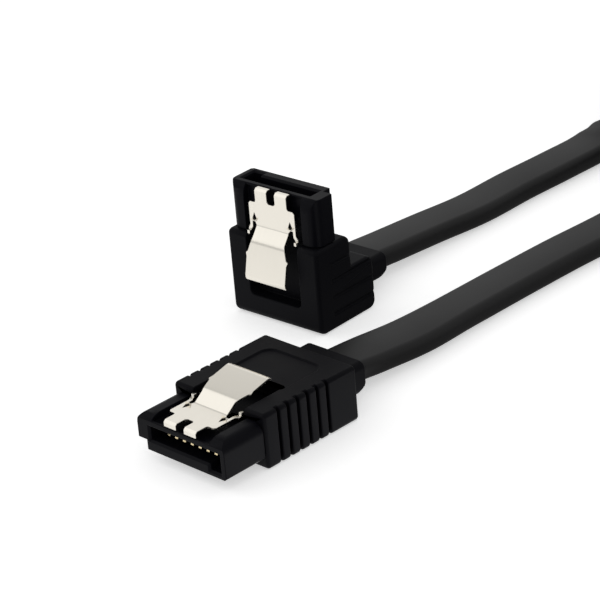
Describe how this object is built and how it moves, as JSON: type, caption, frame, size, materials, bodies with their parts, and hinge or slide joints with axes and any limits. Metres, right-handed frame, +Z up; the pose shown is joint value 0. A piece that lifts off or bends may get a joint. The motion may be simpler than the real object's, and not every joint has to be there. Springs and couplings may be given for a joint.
{
  "type": "sata data cable",
  "caption": "Flat black data cable with a straight plug and a right-angle plug, each with a sprung steel latch.",
  "frame": {"origin": "middle of the straight plug's flat underside", "axes": "+Z up, the straight plug's mating face looks along -Y, its cable leaves along +Y"},
  "size_m": [0.07, 0.1712, 0.0176],
  "materials": {
    "housing_plastic": "moulded, semi-gloss black",
    "overmould_pvc": "moulded, satin black",
    "jacket_pvc": "extruded, satin black",
    "latch_steel": "rolled stainless spring steel, stamped",
    "contact_gold": "gold flash on copper alloy",
    "inner_mould_pe": "natural polyethylene",
    "wire_insulation": "extruded",
    "drain_copper": "tinned copper",
    "tie_polyamide": "moulded, satin black"
  },
  "bodies": {
    "root": {"straight_housing": "housing_plastic", "straight_contact_1": "contact_gold", "straight_contact_2": "contact_gold", "straight_contact_3": "contact_gold", "straight_contact_4": "contact_gold", "straight_contact_5": "contact_gold", "straight_contact_6": "contact_gold", "straight_contact_7": "contact_gold", "straight_inner_mould": "inner_mould_pe", "straight_overmould": "overmould_pvc", "straight_drain_wire_1": "drain_copper", "straight_signal_wire_2": "wire_insulation", "straight_signal_wire_3": "wire_insulation", "straight_drain_wire_4": "drain_copper", "straight_signal_wire_5": "wire_insulation", "straight_signal_wire_6": "wire_insulation", "straight_drain_wire_7": "drain_copper", "angled_housing": "housing_plastic", "angled_contact_1": "contact_gold", "angled_contact_2": "contact_gold", "angled_contact_3": "contact_gold", "angled_contact_4": "contact_gold", "angled_contact_5": "contact_gold", "angled_contact_6": "contact_gold", "angled_contact_7": "contact_gold", "angled_inner_mould": "inner_mould_pe", "angled_overmould": "overmould_pvc", "angled_drain_wire_1": "drain_copper", "angled_signal_wire_2": "wire_insulation", "angled_signal_wire_3": "wire_insulation", "angled_drain_wire_4": "drain_copper", "angled_signal_wire_5": "wire_insulation", "angled_signal_wire_6": "wire_insulation", "angled_drain_wire_7": "drain_copper", "cable_lead_straight": "jacket_pvc", "cable_coil": "jacket_pvc", "cable_lead_angled": "jacket_pvc", "cable_tie": "tie_polyamide"},
    "straight_latch": {"straight_latch": "latch_steel"},
    "angled_latch": {"angled_latch": "latch_steel"}
  },
  "joints": [
    {"name": "straight_latch_press", "type": "hinge", "parent": "root", "child": "straight_latch", "pos_m": [0, -0.01335, 0.0055], "axis": [-1, 0, 0], "range_deg": [0, 6], "stiffness_Nm_per_rad": 0.03, "springref_deg": -2.86},
    {"name": "angled_latch_press", "type": "hinge", "parent": "root", "child": "angled_latch", "pos_m": [-0.01816, 0.021, 0.0173], "axis": [0.9986, 0.0523, 0], "range_deg": [0, 6], "stiffness_Nm_per_rad": 0.03, "springref_deg": -2.86}
  ]
}
